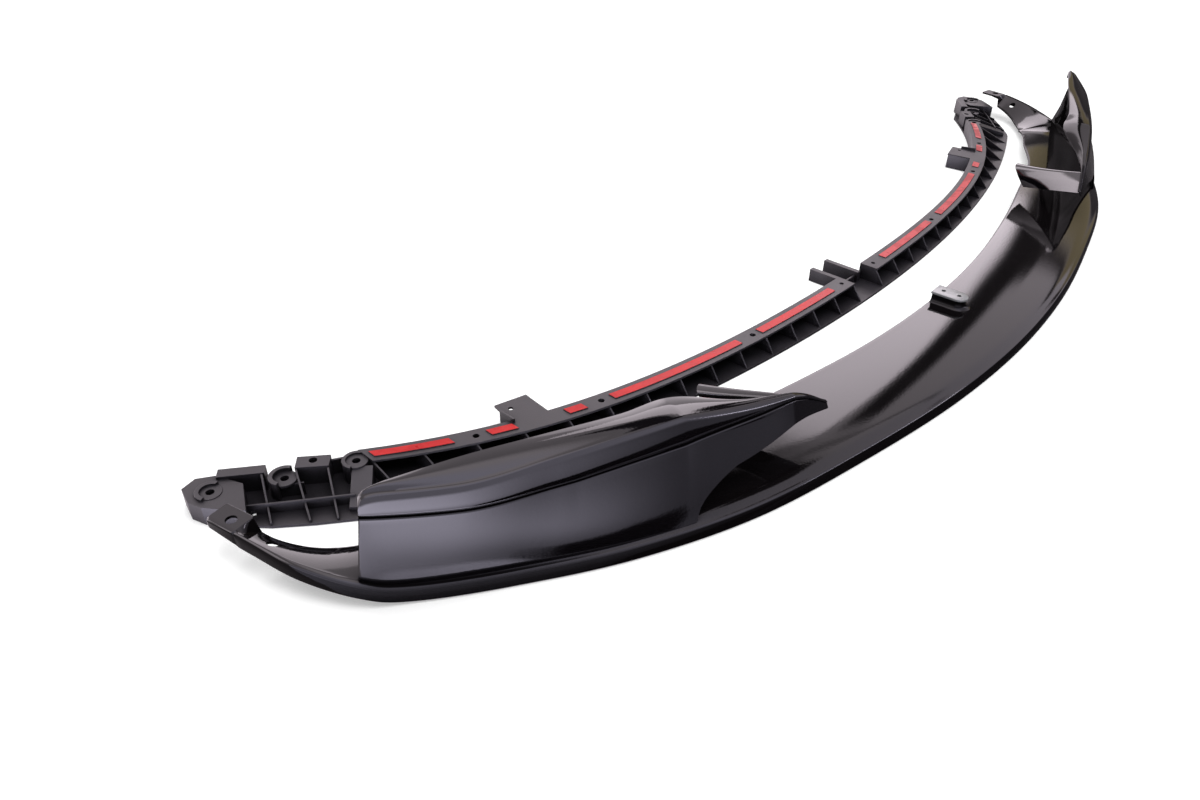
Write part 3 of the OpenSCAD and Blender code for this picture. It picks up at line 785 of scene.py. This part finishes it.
# The mouth bridge runs back in over the deck from the nose, its top edge rolled into a tube
nose_top = Vector((0.458 * lip_half, 0.206 * lip_depth, 0.74 * shelf_top))
nose_low = Vector((0.42 * lip_half, 0.178 * lip_depth, 0.57 * shelf_top))
end_y = 0.465 * lip_depth
end_z = 0.55 * shelf_top
end_top = Vector((0.479 * lip_half, end_y, end_z))
end_low = Vector((0.479 * lip_half, end_y - 0.6 * bridge_drop, end_z - 0.8 * bridge_drop))
bridge_run = (end_top - nose_top).normalized()
face_steps = 6
roll_steps = 24


def bridge_section(f):
    top = blend(nose_top, end_top, f)
    low = blend(nose_low, end_low, f)
    down = (low - top).normalized()
    out = bridge_run.cross(down).normalized()
    r = roll_radius * blend(0.5, 1, f)
    t = canard_thick * blend(0.7, 0.85, f)
    hub = top + down * r - out * r
    shares = [k / face_steps for k in range(face_steps + 1)]
    face = [blend(low, top, 0.5 * k) + out * math.sin(math.pi / 2 * k) for k in shares]
    start = hub + out * r
    face += [blend(face[-1], start, k / 5) for k in range(1, 5)]
    back = [p - out * t for p in reversed(face)]
    turns = [math.pi * k / roll_steps for k in range(roll_steps + 1)]
    spokes = [out * math.cos(a) - down * math.sin(a) for a in turns]
    roll = [hub + way * r for way in spokes]
    lip = [hub - out * r + down * 3, hub - out * (r - t / 2) + down * 3.6, hub - out * (r - t) + down * 3]
    inside = [hub + way * (r - t) for way in reversed(spokes)]
    return face + roll + lip + inside + back


shell_steps = 24
bridge_steps = 30
bridge_start = 0.02
shell_stations = [k / shell_steps for k in range(last_canard_station * shell_steps + 1)]
bridge_shares = [bridge_start + (1 - bridge_start) * k / bridge_steps for k in range(bridge_steps + 1)]
# Painted shade: the far canard's sheen is set lower than the near one's, to make it as dark as in the
# picture
near_gloss = gloss_black("canard_gloss_black", (0.003, 0.0024, 0.0032), 0.05)
far_shaded_gloss = gloss_black("far_canard_painted_shade", (0.003, 0.0024, 0.0026), 0.05, sheen_level=0.12)
# Painted highlight: both mouth bridges get twice the sheen of the near canard
bridge_highlight_gloss = gloss_black("bridge_painted_highlight", (0.003, 0.0024, 0.0032), 0.05, sheen_level=1)
for side_name, side, shell_gloss in (("left", 1, far_shaded_gloss), ("right", -1, near_gloss)):
    shell_rings = [[place(p, side) for p in canard_section(s)] for s in shell_stations]
    bridge_rings = [[place(p, side) for p in bridge_section(f)] for f in bridge_shares]
    shell = rings_to_mesh("canard_shell_" + side_name, shell_rings)
    bridge = rings_to_mesh("canard_bridge_" + side_name, bridge_rings)
    for piece, finish in ((shell, shell_gloss), (bridge, bridge_highlight_gloss)):
        piece.data.materials.append(finish)
        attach(piece, "root")
        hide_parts("canard_" + side_name)


# Carrier: a ribbed channel moulded in black polypropylene that the lip hangs from, with a fine
# satin grain on its flange. It lies loose behind the lip, and its screws go up into the bumper.
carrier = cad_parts["carrier"]
satin, tree = new_material("carrier_satin_black")
skin = tree.nodes["Principled BSDF"]
where = add_shader(tree, "TexCoord").outputs["Object"]
grain = add_shader(tree, "TexNoise", {"Scale": 900, "Detail": 3})
cloud = add_shader(tree, "TexNoise", {"Scale": 18, "Detail": 5})
tree.links.new(where, grain.inputs["Vector"])
tree.links.new(where, cloud.inputs["Vector"])
tone = colour_ramp(tree, cloud.outputs["Fac"], (0.3, (0.006, 0.0055, 0.0065)), (0.7, (0.013, 0.012, 0.014)))
tree.links.new(tone, skin.inputs["Base Color"])
tree.links.new(remap(tree, cloud.outputs["Fac"], 0, 1, 0.36, 0.56), skin.inputs["Roughness"])
# Moulded edges catch a thin line of light, and the grain lies over them
soften = add_shader(tree, "Bevel", {"Radius": 0.0008}, samples=4)
pimple = add_shader(tree, "Bump", {"Strength": 0.18, "Distance": 0.0003})
tree.links.new(grain.outputs["Fac"], pimple.inputs["Height"])
tree.links.new(soften.outputs["Normal"], pimple.inputs["Normal"])
tree.links.new(pimple.outputs["Normal"], skin.inputs["Normal"])
# Painted shade: deep pockets have their sheen turned down by an occlusion node
pocket_shade = add_shader(tree, "AmbientOcclusion", {"Distance": 0.03}, samples=6)
pocket_painted_shade = remap(tree, pocket_shade.outputs["AO"], 0.45, 0.95, 0.03, 0.58)
tree.links.new(pocket_painted_shade, skin.inputs["Specular IOR Level"])
carrier.data.materials.clear()
carrier.data.materials.append(satin)


# Tape: strips of grey acrylic foam between the screw holes, each still under its red release film.
# The film is a thin glossy plastic with air caught under it in blotches.
foam, tree = new_material("tape_foam_grey")
skin = tree.nodes["Principled BSDF"]
skin.inputs["Roughness"].default_value = 0.9
cell = add_shader(tree, "TexNoise", {"Scale": 2600})
tree.links.new(add_shader(tree, "TexCoord").outputs["Object"], cell.inputs["Vector"])
tone = colour_ramp(tree, cell.outputs["Fac"], (0, (0.03, 0.03, 0.032)), (1, (0.085, 0.085, 0.09)))
tree.links.new(tone, skin.inputs["Base Color"])

film, tree = new_material("release_film_red")
skin = tree.nodes["Principled BSDF"]
skin.inputs["IOR"].default_value = 1.5
skin.inputs["Specular IOR Level"].default_value = 0.16
where = add_shader(tree, "TexCoord").outputs["Object"]
split = add_shader(tree, "SeparateXYZ")
blotch = add_shader(tree, "TexNoise", {"Scale": 46, "Detail": 3, "Distortion": 0.8})
tree.links.new(where, split.inputs["Vector"])
tree.links.new(where, blotch.inputs["Vector"])
along = split.outputs["X"]
caught = blotch.outputs["Fac"]
red = colour_ramp(tree, caught, (0.35, (0.4, 0.009, 0.01)), (0.65, (0.5, 0.02, 0.02)))
# Towards the left end the film lifts and pales, and past the middle it sticks in deeper red blotches
faded = mix_colour(tree, remap(tree, along, 0.5, 0.78), red, (0.6, 0.15, 0.15))
stuck = maths(tree, "MULTIPLY", remap(tree, caught, 0.47, 0.52), remap(tree, along, -0.12, 0.2))
tree.links.new(mix_colour(tree, stuck, faded, (0.3, 0.003, 0.004)), skin.inputs["Base Color"])
tree.links.new(remap(tree, caught, 0, 1, 0.2, 0.42), skin.inputs["Roughness"])
bubble = add_shader(tree, "Bump", {"Strength": 0.25, "Distance": 0.001})
tree.links.new(caught, bubble.inputs["Height"])
tree.links.new(bubble.outputs["Normal"], skin.inputs["Normal"])

for name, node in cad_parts.items():
    if name.startswith("tape_foam"):
        node.data.materials.clear()
        node.data.materials.append(foam)
    if name.startswith("tape_liner"):
        node.data.materials.clear()
        node.data.materials.append(film)
